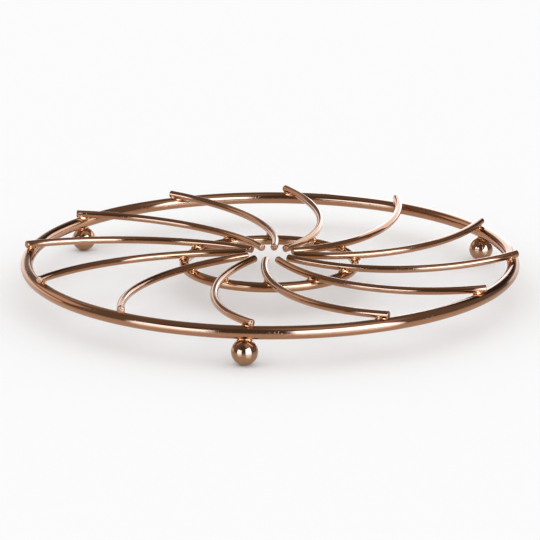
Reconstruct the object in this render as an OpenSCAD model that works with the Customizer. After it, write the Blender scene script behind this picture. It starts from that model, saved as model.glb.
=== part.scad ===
// Wire trivet: a whirl of bent spokes lies on a rim ring and dips to an inner ring.
// Three ball feet carry the rim, and a weld nugget holds every crossing.
// The origin is on the trivet's axis, on the surface that the feet stand on.

/* [Rim ring] */
// Diameter over the rim ring's wire
rim_d = 200; // [170:1:230]
// Thickness of the rim ring's wire
rim_wire_d = 5; // [4:0.1:7]

/* [Inner ring] */
// Diameter over the inner ring's wire
inner_d = 73; // [56:1:90]
// Thickness of the inner ring's wire
inner_wire_d = 4; // [3:0.1:6]

/* [Spokes] */
// Number of spokes in the whirl
spoke_count = 12; // [9:3:15]
// Thickness of the spokes' wire
spoke_wire_d = 3; // [2.4:0.1:3.6]
// Radius that each spoke is bent to, along its middle line
spoke_bend_r = 77; // [68:1:140]
// Diameter of the open eye that the spokes' inner ends leave
eye_d = 19; // [17:0.5:40]
// How far a spoke's outer end runs past the middle of the rim's wire
spoke_reach = 1.4; // [0:0.1:1.6]
// How far the spokes dip from the rim to the inner ring
dish_drop = 2.3; // [0.5:0.1:3.5]
// How far their inner ends rise again above the inner ring's seat
tip_rise = 0.5; // [0:0.1:1]
// Chamfer on the cut ends of the spokes
end_chamfer = 0.3; // [0.1:0.05:0.6]

/* [Feet] */
// Number of ball feet
foot_count = 3; // [3:1:4]
// Diameter of a ball foot
foot_d = 10; // [8:0.5:16]
// How far the feet stand round the rim, clockwise from the spokes' crossings
foot_shift = 1.6; // [0:0.1:4]

/* [Welds] */
// Diameter of the weld nugget at each crossing
weld_d = 3.2; // [3:0.1:3.8]
// How far a weld draws the two pieces that it holds into each other
weld_set = 0.1; // [0.05:0.01:0.12]

/* [Hidden] */
$fn = 96;

copper = [0.74, 0.48, 0.36];
weld_copper = [0.66, 0.38, 0.26];

// Middle lines of the two rings
rim_r = (rim_d - rim_wire_d) / 2;
inner_r = (inner_d - inner_wire_d) / 2;

// Heights of the wires' middle lines, each piece seated on the one below it
rim_z = foot_d - weld_set + rim_wire_d / 2;
spoke_rim_z = rim_z + (rim_wire_d + spoke_wire_d) / 2 - weld_set;
spoke_inner_z = spoke_rim_z - dish_drop;
inner_z = spoke_inner_z - (inner_wire_d + spoke_wire_d) / 2 + weld_set;

// A spoke is a flat arc that would pass through the trivet's axis if it went on.
// Bend angle at which it lies a given distance from the axis
function bend_at(r) = 2 * asin(r / (2 * spoke_bend_r));
// How far it has then run along its first direction, and to the side of it
function forward(r) = spoke_bend_r * sin(bend_at(r));
function sideways(r) = spoke_bend_r * (1 - cos(bend_at(r)));
function run_between(r1, r2) = [forward(r2) - forward(r1), sideways(r2) - sideways(r1)];

// The flat arc leans as a whole: it dips from the rim to the inner ring, then rises to its inner end.
eye_r = eye_d / 2;
outer_run = run_between(inner_r, rim_r);
tip_run = run_between(eye_r, inner_r);
runs_cross = outer_run.x * tip_run.y - outer_run.y * tip_run.x;
forward_slope = (dish_drop * tip_run.y + tip_rise * outer_run.y) / runs_cross;
sideways_slope = -(dish_drop * tip_run.x + tip_rise * outer_run.x) / runs_cross;
spoke_lean = asin(norm([forward_slope, sideways_slope]));
lean_line = atan2(-forward_slope, sideways_slope);

// Distances of a point of the arc along the line that it leans about, and across it
function along(r) = forward(r) * cos(lean_line) + sideways(r) * sin(lean_line);
function across(r) = sideways(r) * cos(lean_line) - forward(r) * sin(lean_line);
// Direction, seen from above, in which the leaning arc lies a given distance from the axis
function turn_at(r) = lean_line + atan2(across(r) * cos(spoke_lean), along(r));
spoke_start_z = spoke_rim_z - across(rim_r) * sin(spoke_lean);

// The first spoke crosses the rim at the front, and the first foot stands just clockwise of it.
front = -90;
foot_turn = foot_shift / rim_r * 180 / PI;
function rim_crossing(i) = front + (i - 1) * 360 / spoke_count;
function inner_crossing(i) = rim_crossing(i) - turn_at(rim_r) + turn_at(inner_r);
function foot_place(i) = front - foot_turn + (i - 1) * 360 / foot_count;

// Bend angles at a spoke's two ends
spoke_from = bend_at(eye_r);
spoke_to = bend_at(rim_r + spoke_reach);

// How far the cutting shapes run past the surfaces that they cut
overrun = 0.5;

module at(direction, r, z) {
    rotate([0, 0, direction])
        translate([r, 0, z])
            children();
}

module wire_ring(r, z, wire_d) {
    translate([0, 0, z])
        rotate_extrude()
            translate([r, 0])
                circle(d = wire_d);
}

module nugget() {
    sphere(d = weld_d);
}

module rim_weld(i) {
    at(rim_crossing(i), rim_r, rim_z + (rim_wire_d - weld_set) / 2) nugget();
}

module inner_weld(i) {
    at(inner_crossing(i), inner_r, inner_z + (inner_wire_d - weld_set) / 2) nugget();
}

module foot_weld(i) {
    at(foot_place(i), rim_r, foot_d - weld_set / 2) nugget();
}

// What the chamfer takes off a cut end of a spoke's wire: side is 1 at the outer end, -1 at the inner one
module end_cut(bend, side) {
    outside = spoke_wire_d / 2 + overrun;
    inside = spoke_wire_d / 2 - end_chamfer - overrun;
    rotate([0, 0, bend - 90])
        translate([spoke_bend_r, 0, 0])
            rotate([-90 * side, 0, 0])
                rotate_extrude()
                    polygon([[inside, overrun], [outside, overrun], [outside, -end_chamfer - overrun]]);
}

module bent_wire() {
    translate([0, spoke_bend_r, 0])
        difference() {
            rotate([0, 0, spoke_from - 90])
                rotate_extrude(angle = spoke_to - spoke_from)
                    translate([spoke_bend_r, 0])
                        circle(d = spoke_wire_d);
            end_cut(spoke_from, -1);
            end_cut(spoke_to, 1);
        }
}

module rim_ring() {
    color(copper)
        difference() {
            wire_ring(rim_r, rim_z, rim_wire_d);
            for (i = [1 : spoke_count]) rim_weld(i);
            for (i = [1 : foot_count]) foot_weld(i);
        }
}

module inner_ring() {
    color(copper)
        difference() {
            wire_ring(inner_r, inner_z, inner_wire_d);
            for (i = [1 : spoke_count]) inner_weld(i);
        }
}

module spoke(i) {
    color(copper)
        difference() {
            rotate([0, 0, rim_crossing(i) - turn_at(rim_r)])
                translate([0, 0, spoke_start_z])
                    rotate(a = spoke_lean, v = [cos(lean_line), sin(lean_line), 0])
                        bent_wire();
            rim_weld(i);
            inner_weld(i);
        }
}

module foot(i) {
    color(copper)
        difference() {
            at(foot_place(i), rim_r, foot_d / 2) sphere(d = foot_d);
            foot_weld(i);
        }
}

module rim_welds() {
    color(weld_copper)
        for (i = [1 : spoke_count]) rim_weld(i);
}

module inner_welds() {
    color(weld_copper)
        for (i = [1 : spoke_count]) inner_weld(i);
}

module foot_welds() {
    color(weld_copper)
        for (i = [1 : foot_count]) foot_weld(i);
}

rim_ring();
inner_ring();
for (i = [1 : spoke_count]) {
    spoke(i);
}
for (i = [1 : foot_count]) {
    foot(i);
}
rim_welds();
inner_welds();
foot_welds();
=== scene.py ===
# A wire trivet in polished copper plate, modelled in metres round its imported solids.
import math
from collections import namedtuple

import bpy
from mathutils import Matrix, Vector


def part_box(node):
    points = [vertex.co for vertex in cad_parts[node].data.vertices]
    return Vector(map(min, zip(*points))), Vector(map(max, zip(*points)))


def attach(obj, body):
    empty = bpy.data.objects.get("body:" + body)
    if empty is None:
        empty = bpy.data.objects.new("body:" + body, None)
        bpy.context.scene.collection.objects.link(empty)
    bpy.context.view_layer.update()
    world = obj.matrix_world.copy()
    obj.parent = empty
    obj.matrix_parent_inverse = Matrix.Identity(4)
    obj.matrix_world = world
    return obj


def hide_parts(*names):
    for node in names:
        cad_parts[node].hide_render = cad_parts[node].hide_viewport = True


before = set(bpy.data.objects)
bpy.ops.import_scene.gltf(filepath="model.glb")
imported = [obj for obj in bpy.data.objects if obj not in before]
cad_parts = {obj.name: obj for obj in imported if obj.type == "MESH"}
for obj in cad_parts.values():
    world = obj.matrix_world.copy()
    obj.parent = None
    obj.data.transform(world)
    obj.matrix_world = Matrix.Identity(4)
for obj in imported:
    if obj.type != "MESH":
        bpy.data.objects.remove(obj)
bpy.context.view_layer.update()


# Sizes of the rings and the ball feet, and how many pieces there are, read from the frame
def ring_sizes(node):
    """Radius of a ring's middle line, thickness of its wire and height of its middle line."""
    low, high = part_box(node)
    wire = high.z - low.z
    return (high.x - low.x - wire) / 2, wire, (low.z + high.z) / 2


def how_many(kind):
    """Number of the nodes of one kind, such as spoke_1, spoke_2 and so on."""
    return sum(name.startswith(kind) and name[-1].isdigit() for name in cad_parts)


RIM_R, RIM_WIRE, RIM_Z = ring_sizes("rim_ring")
INNER_R, INNER_WIRE, INNER_Z = ring_sizes("inner_ring")
foot_low, foot_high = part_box("foot_1")
FOOT_D = foot_high.x - foot_low.x
SPOKE_COUNT = how_many("spoke_")
FOOT_COUNT = how_many("foot_")

# Sizes of a spoke: a bent wire that lies on the rim, dips to the inner ring and rises to its end
SPOKE_WIRE = 0.003  # thickness of the wire
SPOKE_BEND = 0.077  # radius that it is bent to, along its middle line
EYE_R = 0.0095  # radius of the open eye that the inner ends leave
SPOKE_REACH = 0.0014  # how far the outer end runs past the middle of the rim's wire
DISH_DROP = 0.0023  # how far the spoke dips from the rim to the inner ring
TIP_RISE = 0.0005  # how far its inner end rises again

# Cut ends of a spoke: their chamfer, how far their middles stand out, and each inset's share of that
END_CHAMFER = 0.0003
CHAMFER_STEPS = 4
END_CROWN = 0.00008
CROWN_SHARES = (1 / 2, 1 / 3, 1 / 6)

# Feet and welds
FOOT_SHIFT = 0.0016  # how far the feet stand clockwise of the crossings
WELD_SET = 0.0001  # how far a weld draws two pieces into each other
WELD_RUN = 2.0  # how many times as long as wide a weld runs out
WELD_BACK = 0.0008  # how far a rim weld sits back from the crossing, along its spoke
WELD_LUMP = 0.0018  # width of the lumps of fused metal
WELD_LUMP_HEIGHT = 0.0001  # height of those lumps

# A weld collar's rings, from the lower piece to the upper one: radius, and height above its seat
WIRE_COLLAR = [
    (0.00125, -0.00120),
    (0.00150, -0.00085),
    (0.00150, -0.00050),
    (0.00140, -0.00020),
    (0.00122, 0.00005),
    (0.00115, 0.00030),
    (0.00122, 0.00060),
    (0.00120, 0.00095),
    (0.00095, 0.00130),
]
FOOT_COLLAR = [
    (0.00160, -0.00075),
    (0.00150, -0.00045),
    (0.00135, -0.00020),
    (0.00122, 0.00000),
    (0.00125, 0.00020),
    (0.00140, 0.00050),
    (0.00140, 0.00090),
]

# How finely the round wires, balls and welds are divided, and how near two points count as one
WIRE_SIDES = 48
RIM_STEPS = 480
INNER_STEPS = 288
SPOKE_STEPS = 144
BALL_STEPS = 96
COLLAR_SIDES = 16
COLLAR_ROUNDING = 2
MERGE = 0.000002

# Least angles of an edge that gets the chamfer, and of one that is shaded as an edge
CHAMFERED_EDGE = math.radians(60)
SHADED_EDGE = math.radians(40)

# Height of a spoke's middle line over the rim, and the direction of the first crossing
SPOKE_RIM_Z = RIM_Z + (RIM_WIRE + SPOKE_WIRE) / 2 - WELD_SET
FRONT = math.radians(-90)


# The flat arc of a spoke, which would pass through the trivet's axis if it went on
def bend_at(r):
    """Bend angle at which the arc lies a given distance from the axis."""
    return 2 * math.asin(r / (2 * SPOKE_BEND))


def run_to(r):
    """How far the arc has run by then, along its first direction and to the side of it."""
    bend = bend_at(r)
    return SPOKE_BEND * math.sin(bend), SPOKE_BEND * (1 - math.cos(bend))


def spoke_slopes():
    """Slopes of the plane in which the arc leans, along its first direction and to the side of it."""
    eye, inner, rim = run_to(EYE_R), run_to(INNER_R), run_to(RIM_R)
    outer_x, outer_y = rim[0] - inner[0], rim[1] - inner[1]
    tip_x, tip_y = inner[0] - eye[0], inner[1] - eye[1]
    cross = outer_x * tip_y - outer_y * tip_x
    forward = (DISH_DROP * tip_y + TIP_RISE * outer_y) / cross
    sideways = -(DISH_DROP * tip_x + TIP_RISE * outer_x) / cross
    return forward, sideways


forward_slope, sideways_slope = spoke_slopes()
SPOKE_LEAN = math.asin(math.hypot(forward_slope, sideways_slope))
LEAN_LINE = math.atan2(-forward_slope, sideways_slope)


def across_lean(r):
    """How far the arc has then run across the line that it leans about."""
    x, y = run_to(r)
    return y * math.cos(LEAN_LINE) - x * math.sin(LEAN_LINE)


def turn_at(r):
    """Direction, seen from above, in which the leaning arc then lies."""
    x, y = run_to(r)
    along = x * math.cos(LEAN_LINE) + y * math.sin(LEAN_LINE)
    return LEAN_LINE + math.atan2(across_lean(r) * math.cos(SPOKE_LEAN), along)


SPOKE_START_Z = SPOKE_RIM_Z - across_lean(RIM_R) * math.sin(SPOKE_LEAN)


# Directions, seen from above, of the crossings and the feet
def rim_crossing(i):
    return FRONT + i * 2 * math.pi / SPOKE_COUNT


def inner_crossing(i):
    return rim_crossing(i) - turn_at(RIM_R) + turn_at(INNER_R)


def foot_place(i):
    return FRONT - FOOT_SHIFT / RIM_R + i * 2 * math.pi / FOOT_COUNT


# Steps that every piece is modelled with
def open_piece(name):
    """Names the primitive that was just added and opens it in edit mode with all of it selected."""
    piece = bpy.context.active_object
    piece.name = name
    piece.data.name = name
    bpy.ops.object.transform_apply(location=True, rotation=True, scale=True)
    bpy.ops.object.mode_set(mode="EDIT")
    bpy.ops.mesh.select_all(action="SELECT")
    return piece


def close_piece():
    """Merges doubles, turns all faces outwards and leaves edit mode."""
    bpy.ops.mesh.select_all(action="SELECT")
    bpy.ops.mesh.remove_doubles(threshold=MERGE)
    bpy.ops.mesh.normals_make_consistent(inside=False)
    bpy.ops.object.mode_set(mode="OBJECT")


def select_only(piece):
    bpy.ops.object.select_all(action="DESELECT")
    piece.select_set(True)
    bpy.context.view_layer.objects.active = piece


def copy_turned(piece, name, turn):
    """A copy with its own mesh, turned about the trivet's axis."""
    twin = piece.copy()
    twin.data = piece.data.copy()
    twin.name = name
    twin.data.name = name
    bpy.context.scene.collection.objects.link(twin)
    twin.rotation_euler.z = turn
    select_only(twin)
    bpy.ops.object.transform_apply(location=True, rotation=True, scale=True)
    return twin


def mark_section(piece, offset):
    """Keeps each point's place in the wire's round section, so that drawn lines follow the wire."""
    section = piece.data.attributes.new("section", "FLOAT_VECTOR", "POINT")
    for point, value in zip(piece.data.vertices, section.data):
        value.vector = offset(point.co)


def mark_cut_ends(wire, bend_from, bend_to):
    """Marks the points of a bent wire's two end faces, which the cut left torn."""
    slack = MERGE / SPOKE_BEND
    cut = wire.data.attributes.new("cut_end", "FLOAT", "POINT")
    for point, mark in zip(wire.data.vertices, cut.data):
        bend = math.atan2(point.co.x, SPOKE_BEND - point.co.y)
        mark.value = bend < bend_from + slack or bend > bend_to - slack


def dress(piece, finish, slot, *nodes):
    """Gives a finished piece its plate, and sets it in the frame for the nodes that it stands for."""
    piece.data.materials.clear()
    piece.data.materials.append(finish)
    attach(piece, "root")
    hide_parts(*nodes)


# Rim ring and inner ring
def ring_of_wire(name, radius, wire, height, steps):
    """A round section spun once about the trivet's axis."""
    bpy.ops.object.select_all(action="DESELECT")
    bpy.ops.mesh.primitive_circle_add(
        vertices=WIRE_SIDES, radius=wire / 2, location=(radius, 0, height), rotation=(math.pi / 2, 0, 0)
    )
    ring = open_piece(name)
    bpy.ops.mesh.spin(steps=steps, angle=2 * math.pi, center=(0, 0, height), axis=(0, 0, 1))
    close_piece()
    bpy.ops.object.shade_smooth()
    mark_section(ring, lambda co: (math.hypot(co.x, co.y) - radius, co.z - height, 0))
    return ring


# Spokes
def bent_wire():
    """A round section spun along the spoke's bend, with chamfered, crowned ends, leaning as a whole."""
    bend_from = bend_at(EYE_R)
    bend_to = bend_at(RIM_R + SPOKE_REACH)
    bend_middle = Vector((0, SPOKE_BEND, 0))
    start = Vector((*run_to(EYE_R), 0))
    bpy.ops.object.select_all(action="DESELECT")
    bpy.ops.mesh.primitive_circle_add(
        vertices=WIRE_SIDES, radius=SPOKE_WIRE / 2, location=start, rotation=(0, math.pi / 2, bend_from)
    )
    wire = open_piece("bent_wire")
    bpy.ops.mesh.spin(steps=SPOKE_STEPS, angle=bend_to - bend_from, center=bend_middle, axis=(0, 0, -1))
    bpy.ops.mesh.select_all(action="SELECT")
    bpy.ops.mesh.fill_holes(sides=0)
    bpy.ops.mesh.normals_make_consistent(inside=False)
    bpy.ops.mesh.select_mode(type="EDGE")
    bpy.ops.mesh.select_all(action="DESELECT")
    bpy.ops.mesh.edges_select_sharp(sharpness=CHAMFERED_EDGE)
    bpy.ops.mesh.bevel(offset=END_CHAMFER, segments=CHAMFER_STEPS, affect="EDGES")
    crown_ends()
    close_piece()
    bpy.ops.object.shade_smooth_by_angle(angle=SHADED_EDGE)
    mark_section(wire, lambda co: ((co - bend_middle).xy.length - SPOKE_BEND, co.z, 0))
    mark_cut_ends(wire, bend_from, bend_to)
    wire.rotation_mode = "AXIS_ANGLE"
    wire.rotation_axis_angle = (SPOKE_LEAN, math.cos(LEAN_LINE), math.sin(LEAN_LINE), 0)
    wire.location.z = SPOKE_START_Z
    select_only(wire)
    bpy.ops.object.transform_apply(location=True, rotation=True, scale=True)
    wire.rotation_mode = "XYZ"
    return wire


def crown_ends():
    """Insets the two flat end faces and pushes their middles out a little, as on a tumbled wire."""
    bpy.ops.mesh.select_mode(type="FACE")
    bpy.ops.mesh.select_all(action="DESELECT")
    bpy.ops.mesh.select_face_by_sides(number=4, type="GREATER", extend=False)
    step = (SPOKE_WIRE / 2 - END_CHAMFER) / (len(CROWN_SHARES) + 1)
    for share in CROWN_SHARES:
        bpy.ops.mesh.inset(thickness=step, depth=END_CROWN * share, use_individual=True)


# Ball feet
def ball_foot():
    """Half a circle spun about its upright diameter, at the first foot's place turned to the X axis."""
    middle = Vector((RIM_R, 0, FOOT_D / 2))
    bpy.ops.object.select_all(action="DESELECT")
    bpy.ops.mesh.primitive_circle_add(
        vertices=BALL_STEPS, radius=FOOT_D / 2, location=middle, rotation=(math.pi / 2, 0, 0)
    )
    ball = open_piece("ball_foot")
    bpy.ops.mesh.select_all(action="DESELECT")
    bpy.ops.object.mode_set(mode="OBJECT")
    for point in ball.data.vertices:
        point.select = point.co.x < middle.x - MERGE
    bpy.ops.object.mode_set(mode="EDIT")
    bpy.ops.mesh.delete(type="VERT")
    bpy.ops.mesh.select_all(action="SELECT")
    bpy.ops.mesh.spin(steps=BALL_STEPS, angle=2 * math.pi, center=middle, axis=(0, 0, 1))
    close_piece()
    bpy.ops.object.shade_smooth()
    return ball


# Welds
def weld_collar(name, profile, middle, slant):
    """A waisted nugget: rings of the profile's sizes are drawn up in turn, then run out slantwise."""
    first_r, first_z = profile[0]
    start = middle + Vector((0, 0, first_z))
    bpy.ops.object.select_all(action="DESELECT")
    bpy.ops.mesh.primitive_circle_add(
        vertices=COLLAR_SIDES, radius=first_r, fill_type="NGON", location=start
    )
    collar = open_piece(name)
    for (r0, z0), (r1, z1) in zip(profile, profile[1:]):
        bpy.ops.mesh.extrude_region_move(TRANSFORM_OT_translate={"value": (0, 0, z1 - z0)})
        ring_middle = middle + Vector((0, 0, z1))
        bpy.ops.transform.resize(value=(r1 / r0, r1 / r0, 1), center_override=ring_middle)
    bpy.ops.mesh.select_all(action="SELECT")
    bpy.ops.transform.resize(value=(WELD_RUN, 1, 1), center_override=middle)
    bpy.ops.transform.rotate(value=-slant, orient_axis="Z", center_override=middle)
    close_piece()
    rounding = collar.modifiers.new("rounding", "SUBSURF")
    rounding.levels = COLLAR_ROUNDING
    rounding.render_levels = COLLAR_ROUNDING
    bpy.ops.object.modifier_apply(modifier=rounding.name)
    bpy.ops.object.shade_smooth()
    return collar


def spoke_slant(r):
    """Angle between a spoke and the line out of the axis, at a given distance from the axis."""
    return bend_at(r) / 2


def weld_slant(r):
    """Direction, outwards from a crossing, that halves the sharp angle between spoke and ring."""
    return (spoke_slant(r) + math.pi / 2) / 2


def weld_row(name, profile, middle, slant, turns):
    """One collar for each crossing, joined into one piece and roughened as fused metal is."""
    collar = weld_collar(name + "_first", profile, middle, slant)
    row = [copy_turned(collar, f"{name}_{i}", turn) for i, turn in enumerate(turns, 1)]
    bpy.data.objects.remove(collar)
    bpy.ops.object.select_all(action="DESELECT")
    for twin in row:
        twin.select_set(True)
    bpy.context.view_layer.objects.active = row[0]
    bpy.ops.object.join()
    welds = bpy.context.active_object
    welds.name = name
    welds.data.name = name
    lumps = bpy.data.textures.new(name + "_lumps", "CLOUDS")
    lumps.noise_scale = WELD_LUMP
    roughening = welds.modifiers.new("roughening", "DISPLACE")
    roughening.texture = lumps
    roughening.texture_coords = "GLOBAL"
    roughening.mid_level = 0.5
    roughening.strength = WELD_LUMP_HEIGHT
    bpy.ops.object.modifier_apply(modifier=roughening.name)
    return welds


# Shader maths
class Signal:
    """A shader socket that takes part in sums, so that 1 - mask adds a Math node."""

    def __init__(self, graph, socket):
        self.graph = graph
        self.socket = socket

    def math(self, operation, first, second):
        return self.graph.node("ShaderNodeMath", {"operation": operation}, {0: first, 1: second})

    def __add__(self, other):
        return self.math("ADD", self, other)

    def __radd__(self, other):
        return self.math("ADD", other, self)

    def __sub__(self, other):
        return self.math("SUBTRACT", self, other)

    def __rsub__(self, other):
        return self.math("SUBTRACT", other, self)

    def __mul__(self, other):
        return self.math("MULTIPLY", self, other)

    def __rmul__(self, other):
        return self.math("MULTIPLY", other, self)

    def __abs__(self):
        return self.math("ABSOLUTE", self, 0)


class Graph:
    """The shader nodes of a material or of the world."""

    # Places of the Mix node's two colours and of the colour that it makes
    FIRST_COLOUR = 6
    SECOND_COLOUR = 7
    MIXED_COLOUR = 2

    def __init__(self, owner):
        owner.use_nodes = True
        self.tree = owner.node_tree
        self.tree.nodes.clear()

    def node(self, kind, settings=None, sockets=None, out=0):
        """Adds a node, sets it, feeds its sockets with values or links, and returns an output."""
        made = self.tree.nodes.new(kind)
        for key, value in (settings or {}).items():
            setattr(made, key, value)
        for key, value in (sockets or {}).items():
            if isinstance(value, Signal):
                self.tree.links.new(value.socket, made.inputs[key])
            else:
                made.inputs[key].default_value = value
        return Signal(self, made.outputs[out]) if made.outputs else None

    def blend(self, share, first, second):
        """A colour between two colours."""
        sockets = {"Factor": share, self.FIRST_COLOUR: first, self.SECOND_COLOUR: second}
        return self.node("ShaderNodeMix", {"data_type": "RGBA"}, sockets, out=self.MIXED_COLOUR)

    def scaled(self, vector, scale):
        return self.node("ShaderNodeVectorMath", {"operation": "SCALE"}, {0: vector, "Scale": scale})

    def summed(self, first, second):
        return self.node("ShaderNodeVectorMath", {"operation": "ADD"}, {0: first, 1: second})

    def product(self, first, second):
        return self.node("ShaderNodeVectorMath", {"operation": "MULTIPLY"}, {0: first, 1: second})

    def length(self, vector):
        return self.node("ShaderNodeVectorMath", {"operation": "LENGTH"}, {0: vector}, out="Value")

    def along(self, vector, axis):
        """How far a vector runs along an axis."""
        sockets = {0: vector, 1: axis}
        return self.node("ShaderNodeVectorMath", {"operation": "DOT_PRODUCT"}, sockets, out="Value")

    def noise(self, vector, scale, detail=2):
        return self.node("ShaderNodeTexNoise", {}, {"Vector": vector, "Scale": scale, "Detail": detail})

    def ramp(self, value, low, high):
        """0 below low and 1 above high, with a smooth way between."""
        settings = {"interpolation_type": "SMOOTHSTEP"}
        sockets = {"Value": value, "From Min": low, "From Max": high}
        return self.node("ShaderNodeMapRange", settings, sockets)


# Finishes
def finish_material(name):
    material = bpy.data.materials.new(name)
    return material, Graph(material)


def lay_plate(g, colour, rough, height):
    """Makes a material's surface of bright metal with fine bumps, whose height is in metres."""
    bump = g.node("ShaderNodeBump", {}, {"Strength": 1, "Distance": 1, "Height": height})
    plate = {"Base Color": colour, "Roughness": rough, "Metallic": 1, "Normal": bump}
    shader = g.node("ShaderNodeBsdfPrincipled", {}, plate)
    g.node("ShaderNodeOutputMaterial", {}, {"Surface": shader})


# Plate on drawn wire: its colours, the noise values between which the warm one turns pale, and the
# distances from the axis between which the deep one gives way to both
COPPER_WARM = (0.430, 0.211, 0.112, 1)
COPPER_PALE = (0.450, 0.227, 0.125, 1)
COPPER_DEEP = (0.435, 0.210, 0.102, 1)
PALE_RANGE = (0.35, 0.65)
DEEP_RANGE = (0.03, 0.06)

# Its drawn lines, waves, tones, pits and tears: how many there are to a metre, the noise values between
# which a pitted place and a pit begin, their heights, and what they add to the least roughness
DRAWN_ACROSS = 9000
DRAWN_ALONG = 60
WAVES = 260
TONES = 45
PITS = 1500
TEARS = 1700
PITTED_RANGE = (0.44, 0.6)
PIT_RANGE = (0.55, 0.7)
DRAWN_HEIGHT = 0.5e-6
WAVE_HEIGHT = 14e-6
PIT_DEPTH = 16e-6
TEAR_HEIGHT = 280e-6
WIRE_ROUGH = 0.025
DRAWN_ROUGH = 0.045
TONE_ROUGH = 0.025
TEAR_ROUGH = 0.1


def plated_wire_finish():
    """Copper plate over drawn wire, a little deeper in colour near the trivet's middle.

    It has faint lines along the wire, slow waves, pits in places and torn cut ends.
    """
    material, g = finish_material("copper_plate_on_wire")
    place = g.node("ShaderNodeTexCoord", out="Object")
    section = g.node("ShaderNodeAttribute", {"attribute_name": "section"}, out="Vector")
    cut = g.node("ShaderNodeAttribute", {"attribute_name": "cut_end"}, out="Fac")
    drawn_place = g.summed(g.scaled(section, DRAWN_ACROSS), g.scaled(place, DRAWN_ALONG))
    drawn = g.noise(drawn_place, 1, detail=3)
    waves = g.noise(place, WAVES)
    tone = g.noise(place, TONES, detail=3)
    pitted = g.ramp(g.noise(place, TONES, detail=1), *PITTED_RANGE)
    pits = pitted * g.ramp(g.noise(place, PITS), *PIT_RANGE)
    torn = cut * g.noise(place, TEARS)
    outside = g.ramp(g.length(g.product(place, (1, 1, 0))), *DEEP_RANGE)
    outer_colour = g.blend(g.ramp(tone, *PALE_RANGE), COPPER_WARM, COPPER_PALE)
    colour = g.blend(outside, COPPER_DEEP, outer_colour)
    rough = WIRE_ROUGH + DRAWN_ROUGH * drawn + TONE_ROUGH * tone + TEAR_ROUGH * cut
    height = WAVE_HEIGHT * waves + DRAWN_HEIGHT * drawn - PIT_DEPTH * pits + TEAR_HEIGHT * torn
    lay_plate(g, colour, rough, height)
    return material


# Plate on a burnished ball, with its tones and dimples to a metre
BALL_WARM = (0.425, 0.228, 0.129, 1)
BALL_PALE = (0.445, 0.245, 0.143, 1)
BALL_TONES = 120
BALL_DIMPLES = 2600
BALL_DIMPLE_HEIGHT = 1.5e-6
BALL_ROUGH = 0.03
BALL_TONE_ROUGH = 0.05


def plated_ball_finish():
    """Copper plate over a burnished ball: a little paler than on the wires, and very finely dimpled."""
    material, g = finish_material("copper_plate_on_ball")
    place = g.node("ShaderNodeTexCoord", out="Object")
    tone = g.noise(place, BALL_TONES, detail=3)
    dimples = g.noise(place, BALL_DIMPLES)
    colour = g.blend(g.ramp(tone, *PALE_RANGE), BALL_WARM, BALL_PALE)
    rough = BALL_ROUGH + BALL_TONE_ROUGH * tone
    lay_plate(g, colour, rough, BALL_DIMPLE_HEIGHT * dimples)
    return material


# Plate on weld metal, with its tones and ripples to a metre, and the noise values between which it takes
# on a share of the wires' colour
# The fired colour is partly a heat tint and partly a painted orange reflection of the neighbouring
# copper, so it is brighter than the plate on the wires
COPPER_FIRED_AND_REFLECTED = (0.72, 0.35, 0.14, 1)
WELD_TONES = 500
COOLED_RANGE = (0.4, 0.8)
COOLED_SHARE = 0.6
RIPPLES = 1500
RIPPLE_HEIGHT = 8e-6
WELD_ROUGH = 0.14
RIPPLE_ROUGH = 0.12


def plated_weld_finish():
    """Copper plate over fused metal: golden from the heat, with a painted orange reflection of the
    copper round it, and finely rippled.
    """
    material, g = finish_material("copper_plate_on_weld")
    place = g.node("ShaderNodeTexCoord", out="Object")
    ripple = g.noise(place, RIPPLES, detail=3)
    cooled = COOLED_SHARE * g.ramp(g.noise(place, WELD_TONES), *COOLED_RANGE)
    # The fired colour carries a painted reflection of the copper round the weld, besides its heat tint
    colour = g.blend(cooled, COPPER_FIRED_AND_REFLECTED, COPPER_WARM)
    rough = WELD_ROUGH + RIPPLE_ROUGH * ripple
    lay_plate(g, colour, rough, RIPPLE_HEIGHT * ripple)
    return material


# Studio: the camera, and a pale floor
CAMERA_TURN = math.radians(4.5)
CAMERA_RISE = math.radians(16.03)
CAMERA_DISTANCE = 0.95
CAMERA_LENS = 157.2
CAMERA_NEAR = 0.01
CAMERA_FAR = 50
AIM_DROP = 0.0048  # how far below the rim's middle the camera looks
FLOOR_WIDTH = 8.0
FLOOR_WHITE = (0.97, 0.97, 0.97, 1)
FLOOR_SHEEN_IOR = 1.9
FLOOR_ROUGH = 0.12

# The dim room that the metal mirrors. A panel or wall stands at a turn, in degrees to the right of the
# camera's side. Its half width, foot, top and soft edge are shares of its distance. Its top may slope,
# and its light is added to the room's or taken from it.
Panel = namedtuple("Panel", "turn half_width foot top edge light slope", defaults=[0])
BRIGHT_COOL = (3.7, 5.7, 8.8)
SOFT_COOL = (2.7, 4.1, 6.3)
RIGHT_PANEL = Panel(turn=35, half_width=0.46, foot=-1, top=0.88, edge=0.06, light=BRIGHT_COOL, slope=0.2)
LEFT_PANEL = Panel(turn=-45, half_width=0.34, foot=-1, top=0.48, edge=0.07, light=SOFT_COOL)
WALL_FOOT = Panel(turn=-165, half_width=1.7, foot=-1, top=0.21, edge=0.07, light=1.2)
LEFT_WALL = Panel(turn=-121, half_width=0.34, foot=0.3, top=0.75, edge=0.1, light=0.85)
BACK_WALL = Panel(turn=-157, half_width=0.25, foot=0.6, top=0.95, edge=0.09, light=0.3)
DARK_SIDE = Panel(turn=148, half_width=0.4, foot=0.2, top=0.95, edge=0.12, light=-0.17)
ROOM_DIM = 0.22
ROOM_WARM = (1.0, 0.93, 0.9)

# A round patch of the room: its turn and rise in degrees, and the cosines at which it starts and is full
Patch = namedtuple("Patch", "turn rise starts full light")
OVERHEAD = Patch(turn=55, rise=63, starts=0.88, full=0.99, light=0.4)
VIEWER = Patch(turn=-15, rise=35, starts=0.7, full=0.95, light=-0.1)

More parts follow.
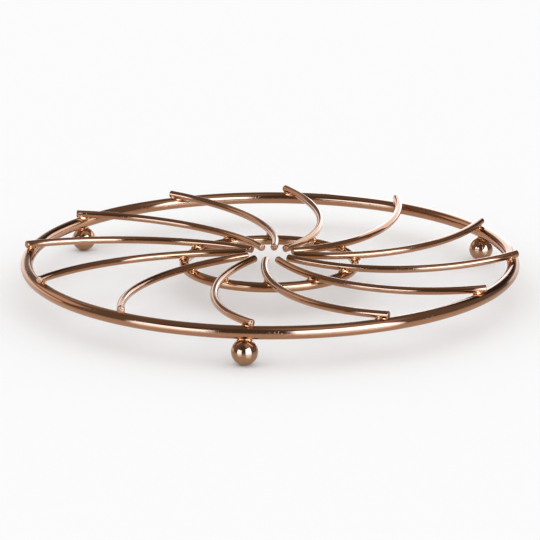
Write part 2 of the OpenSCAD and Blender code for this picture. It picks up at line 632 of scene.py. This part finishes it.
# A lit card behind the rim, from its lower corner to its upper one
CARD_BRIGHT = 1.65
CARD_COOL = (1.0, 1.2, 1.45)
CARD_FROM = Vector((0.014, 0.205, 0.002))
CARD_TO = Vector((0.106, 0.091, 0.105))


def camera_side(turn, rise):
    """Direction from the trivet, turned to the right of the camera's own and raised."""
    heading = CAMERA_TURN + turn
    return Vector((
        math.sin(heading) * math.cos(rise), -math.cos(heading) * math.cos(rise), math.sin(rise)
    ))


def stand_camera():
    """The photo's viewpoint."""
    aim = Vector((0, 0, RIM_Z))
    bpy.ops.object.camera_add()
    camera = bpy.context.active_object
    camera.name = "photo_camera"
    camera.location = aim + camera_side(0, CAMERA_RISE) * CAMERA_DISTANCE
    look = aim - Vector((0, 0, AIM_DROP)) - camera.location
    camera.rotation_euler = look.to_track_quat("-Z", "Y").to_euler()
    camera.data.lens = CAMERA_LENS
    camera.data.clip_start = CAMERA_NEAR
    camera.data.clip_end = CAMERA_FAR
    bpy.context.scene.camera = camera


def lay_floor():
    """A matt white floor, which has a sheen in what the metal mirrors of it."""
    bpy.ops.object.select_all(action="DESELECT")
    bpy.ops.mesh.primitive_plane_add(size=FLOOR_WIDTH)
    floor = bpy.context.active_object
    floor.name = "floor"
    material, g = finish_material("pale_floor")
    mirrored = g.node("ShaderNodeLightPath", out="Is Glossy Ray")
    sheen = g.node("ShaderNodeFresnel", {}, {"IOR": FLOOR_SHEEN_IOR})
    matt = g.node("ShaderNodeBsdfDiffuse", {}, {"Color": FLOOR_WHITE})
    gloss = g.node("ShaderNodeBsdfGlossy", {}, {"Color": FLOOR_WHITE, "Roughness": FLOOR_ROUGH})
    shader = g.node("ShaderNodeMixShader", {}, {0: mirrored * sheen, 1: matt, 2: gloss})
    g.node("ShaderNodeOutputMaterial", {}, {"Surface": shader})
    floor.data.materials.append(material)


def panel_share(g, direction, panel):
    """How much of a soft panel lies in a direction."""
    ahead = g.along(direction, camera_side(math.radians(panel.turn), 0))
    aside = g.along(direction, camera_side(math.radians(panel.turn + 90), 0))
    height = g.along(direction, (0, 0, 1))
    across = g.ramp(panel.half_width * ahead - abs(aside), -panel.edge, panel.edge)
    under = g.ramp(panel.top * ahead + panel.slope * aside - height, -panel.edge, panel.edge)
    over = g.ramp(height - panel.foot * ahead, -panel.edge, panel.edge)
    return across * under * over


def patch_share(g, direction, patch):
    """How much of a round patch lies in a direction."""
    middle = camera_side(math.radians(patch.turn), math.radians(patch.rise))
    return g.ramp(g.along(direction, middle), patch.starts, patch.full)


def light_room():
    """Even white for the floor and the view; the metal mirrors a dim room with its panels and walls."""
    world = bpy.data.worlds.new("studio")
    bpy.context.scene.world = world
    # Only rays that the metal mirrors have to find the panels, so the world isn't sampled as a lamp
    world.cycles.sampling_method = "NONE"
    g = Graph(world)
    direction = g.node("ShaderNodeTexCoord", out="Generated")
    seen = g.node("ShaderNodeLightPath", out="Is Camera Ray")
    even = seen + g.node("ShaderNodeLightPath", out="Is Diffuse Ray")
    mirrored = 1 - even
    glow = ROOM_DIM
    for wall in (LEFT_WALL, BACK_WALL, DARK_SIDE):
        glow = glow + wall.light * panel_share(g, direction, wall)
    for patch in (OVERHEAD, VIEWER):
        glow = glow + patch.light * patch_share(g, direction, patch)
    room = g.scaled(ROOM_WARM, glow * mirrored)
    wall_foot = WALL_FOOT.light * panel_share(g, direction, WALL_FOOT)
    white = g.scaled((1, 1, 1), even + wall_foot * mirrored)
    colour = g.summed(room, white)
    for panel in (RIGHT_PANEL, LEFT_PANEL):
        share = panel_share(g, direction, panel)
        colour = g.summed(colour, g.scaled(panel.light, share * mirrored))
    shader = g.node("ShaderNodeBackground", {}, {"Color": colour})
    g.node("ShaderNodeOutputWorld", {}, {"Surface": shader})


def stand_card():
    """A lit card that stands upright behind the rim, on the right, and shows in the metal alone."""
    across = (CARD_TO - CARD_FROM).to_2d()
    tall = CARD_TO.z - CARD_FROM.z
    bpy.ops.object.light_add(type="AREA", location=(CARD_FROM + CARD_TO) / 2)
    card = bpy.context.active_object
    card.name = "lit_card"
    card.rotation_euler = Vector((across.y, -across.x, 0)).to_track_quat("-Z", "Y").to_euler()
    card.data.shape = "RECTANGLE"
    card.data.size = across.length
    card.data.size_y = tall
    card.data.color = CARD_COOL
    card.data.energy = CARD_BRIGHT * math.pi * across.length * tall
    card.visible_diffuse = False


stand_camera()
lay_floor()
light_room()
stand_card()

# The finished pieces
wire_finish = plated_wire_finish()
ball_finish = plated_ball_finish()
weld_finish = plated_weld_finish()

rim = ring_of_wire("rim_wire", RIM_R, RIM_WIRE, RIM_Z, RIM_STEPS)
dress(rim, wire_finish, "plated_wire", "rim_ring")
inner = ring_of_wire("inner_wire", INNER_R, INNER_WIRE, INNER_Z, INNER_STEPS)
dress(inner, wire_finish, "plated_wire", "inner_ring")

first_wire = bent_wire()
for i in range(SPOKE_COUNT):
    spoke = copy_turned(first_wire, f"spoke_wire_{i + 1}", rim_crossing(i) - turn_at(RIM_R))
    dress(spoke, wire_finish, "plated_wire", f"spoke_{i + 1}")
bpy.data.objects.remove(first_wire)

first_ball = ball_foot()
for i in range(FOOT_COUNT):
    ball = copy_turned(first_ball, f"ball_{i + 1}", foot_place(i))
    dress(ball, ball_finish, "plated_ball", f"foot_{i + 1}")
bpy.data.objects.remove(first_ball)

rim_turns = [rim_crossing(i) for i in range(SPOKE_COUNT)]
rim_slant = spoke_slant(RIM_R)
rim_seat = Vector((
    RIM_R - WELD_BACK * math.cos(rim_slant),
    -WELD_BACK * math.sin(rim_slant),
    RIM_Z + (RIM_WIRE - WELD_SET) / 2,
))
rim_welds = weld_row("rim_collars", WIRE_COLLAR, rim_seat, weld_slant(RIM_R), rim_turns)
dress(rim_welds, weld_finish, "plated_weld", "rim_welds")
inner_turns = [inner_crossing(i) for i in range(SPOKE_COUNT)]
inner_seat = Vector((INNER_R, 0, INNER_Z + (INNER_WIRE - WELD_SET) / 2))
inner_welds = weld_row("inner_collars", WIRE_COLLAR, inner_seat, weld_slant(INNER_R), inner_turns)
dress(inner_welds, weld_finish, "plated_weld", "inner_welds")
foot_turns = [foot_place(i) for i in range(FOOT_COUNT)]
foot_seat = Vector((RIM_R, 0, FOOT_D - WELD_SET / 2))
along_rim = math.pi / 2
foot_welds = weld_row("foot_collars", FOOT_COLLAR, foot_seat, along_rim, foot_turns)
dress(foot_welds, weld_finish, "plated_weld", "foot_welds")

bpy.context.scene.view_settings.view_transform = "Standard"
